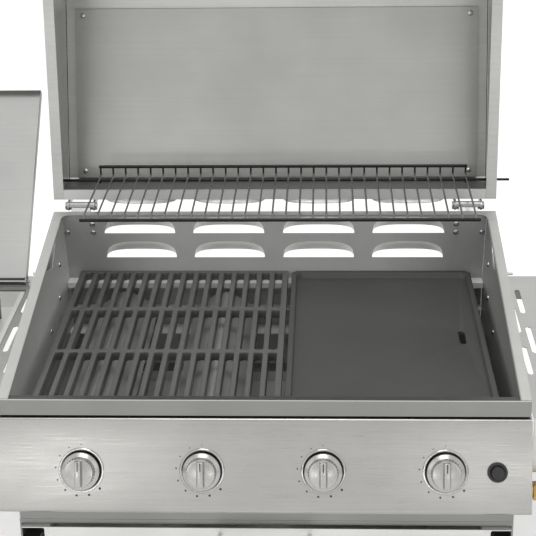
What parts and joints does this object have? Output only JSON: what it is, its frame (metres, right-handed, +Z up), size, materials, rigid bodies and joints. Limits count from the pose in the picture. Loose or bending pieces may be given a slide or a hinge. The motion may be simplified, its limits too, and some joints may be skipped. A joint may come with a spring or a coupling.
{
  "type": "gas grill",
  "caption": "Gas grill head with hinged lid, cast grate, griddle plate, warming rack, tube burners, knobs, grease tray, side tables and a lidded side burner, on short feet.",
  "frame": {"origin": "on the ground under the middle of the object's box, lid open", "axes": "+X to the right seen from the front, -Y towards the cook, +Z up"},
  "size_m": [1.292, 0.7629, 0.8893],
  "materials": {
    "brushed_steel": "brushed",
    "painted_rim": "satin",
    "dark_wall": "satin",
    "cast_iron": "matte",
    "griddle_enamel": "matte",
    "black_wire": "satin",
    "chrome": "polished",
    "brass": "satin",
    "knob_metal": "satin",
    "black_plastic": "matte",
    "rubber": "matte"
  },
  "bodies": {
    "firebox": {"base_frame": "painted_rim", "burner_1": "brushed_steel", "burner_2": "brushed_steel", "burner_3": "brushed_steel", "burner_4": "brushed_steel", "cast_grate": "cast_iron", "control_panel": "brushed_steel", "firebox_front_wall": "painted_rim", "firebox_left_side": "painted_rim", "firebox_rear_panel": "dark_wall", "firebox_right_side": "painted_rim", "flame_tamer_1": "brushed_steel", "flame_tamer_2": "brushed_steel", "flame_tamer_3": "brushed_steel", "flame_tamer_4": "brushed_steel", "foot_front_left": "rubber", "foot_front_right": "rubber", "foot_rear_left": "rubber", "foot_rear_right": "rubber", "gas_manifold": "brass", "griddle_plate": "griddle_enamel", "igniter_collar": "black_plastic", "left_hinge_knuckle": "chrome", "left_table": "brushed_steel", "left_table_bracket": "painted_rim", "right_hinge_knuckle": "chrome", "right_table": "brushed_steel", "right_table_bracket": "painted_rim", "side_burner_grate": "cast_iron", "side_burner_head": "cast_iron", "side_burner_pan": "brushed_steel", "side_lid_hinge_plate": "chrome"},
    "lid": {"lid_handle": "brushed_steel", "lid_left_end": "brushed_steel", "lid_left_lug": "chrome", "lid_left_post": "chrome", "lid_liner": "brushed_steel", "lid_rear_panel": "brushed_steel", "lid_right_end": "brushed_steel", "lid_right_lug": "chrome", "lid_right_post": "chrome", "lid_skin": "brushed_steel", "lid_thermometer": "chrome", "rack_rod": "black_wire"},
    "rack": {"warming_rack": "black_wire"},
    "side_lid": {"side_burner_lid": "brushed_steel"},
    "igniter": {"igniter_button": "black_plastic"},
    "tray": {"grease_cup": "brushed_steel", "grease_tray": "brushed_steel"},
    "stem_1": {"valve_stem_1": "brass"},
    "knob_1": {"knob_1": "knob_metal"},
    "stem_2": {"valve_stem_2": "brass"},
    "knob_2": {"knob_2": "knob_metal"},
    "stem_3": {"valve_stem_3": "brass"},
    "knob_3": {"knob_3": "knob_metal"},
    "stem_4": {"valve_stem_4": "brass"},
    "knob_4": {"knob_4": "knob_metal"},
    "stem_for_side_burner": {"valve_stem_for_side_burner": "brass"},
    "knob_for_side_burner": {"knob_for_side_burner": "knob_metal"}
  },
  "joints": [
    {"name": "lid_hinge", "type": "hinge", "parent": "firebox", "child": "lid", "pos_m": [0, 0.1612, 0.352], "axis": [1, 0, 0], "range_deg": [0, 106.19]},
    {"name": "rack_pivot", "type": "hinge", "parent": "lid", "child": "rack", "pos_m": [0, 0.2127, 0.3762], "axis": [1, 0, 0], "range_deg": [-106.19, 0]},
    {"name": "side_lid_hinge", "type": "hinge", "parent": "firebox", "child": "side_lid", "pos_m": [-0.509, 0.1092, 0.245], "axis": [1, 0, 0], "range_deg": [0, 133.5]},
    {"name": "push_1", "type": "slide", "parent": "firebox", "child": "stem_1", "axis": [0, 0.9402, -0.3405], "range_m": [0, 0.003], "stiffness_N_per_m": 800, "springref_m": -0.004},
    {"name": "turn_1", "type": "hinge", "parent": "stem_1", "child": "knob_1", "pos_m": [-0.234, -0.34576, 0.17681], "axis": [0, -0.9402, 0.3405], "range_deg": [0, 225]},
    {"name": "push_2", "type": "slide", "parent": "firebox", "child": "stem_2", "axis": [0, 0.9402, -0.3405], "range_m": [0, 0.003], "stiffness_N_per_m": 800, "springref_m": -0.004},
    {"name": "turn_2", "type": "hinge", "parent": "stem_2", "child": "knob_2", "pos_m": [-0.078, -0.34576, 0.17681], "axis": [0, -0.9402, 0.3405], "range_deg": [0, 225]},
    {"name": "push_3", "type": "slide", "parent": "firebox", "child": "stem_3", "axis": [0, 0.9402, -0.3405], "range_m": [0, 0.003], "stiffness_N_per_m": 800, "springref_m": -0.004},
    {"name": "turn_3", "type": "hinge", "parent": "stem_3", "child": "knob_3", "pos_m": [0.078, -0.34576, 0.17681], "axis": [0, -0.9402, 0.3405], "range_deg": [0, 225]},
    {"name": "push_4", "type": "slide", "parent": "firebox", "child": "stem_4", "axis": [0, 0.9402, -0.3405], "range_m": [0, 0.003], "stiffness_N_per_m": 800, "springref_m": -0.004},
    {"name": "turn_4", "type": "hinge", "parent": "stem_4", "child": "knob_4", "pos_m": [0.234, -0.34576, 0.17681], "axis": [0, -0.9402, 0.3405], "range_deg": [0, 225]},
    {"name": "push_for_side_burner", "type": "slide", "parent": "firebox", "child": "stem_for_side_burner", "axis": [0, 1, 0], "range_m": [0, 0.003], "stiffness_N_per_m": 800, "springref_m": -0.004},
    {"name": "turn_for_side_burner", "type": "hinge", "parent": "stem_for_side_burner", "child": "knob_for_side_burner", "pos_m": [-0.509, -0.3198, 0.2], "axis": [0, -1, 0], "range_deg": [0, 225]},
    {"name": "igniter_press", "type": "slide", "parent": "firebox", "child": "igniter", "axis": [0, 0.9402, -0.3405], "range_m": [0, 0.005], "stiffness_N_per_m": 400, "springref_m": -0.004},
    {"name": "grease_tray_slide", "type": "slide", "parent": "firebox", "child": "tray", "axis": [0, -1, 0], "range_m": [0, 0.3]}
  ],
  "couplings": [
    {"joint": "rack_pivot", "follows": "lid_hinge", "ratio": -1}
  ]
}
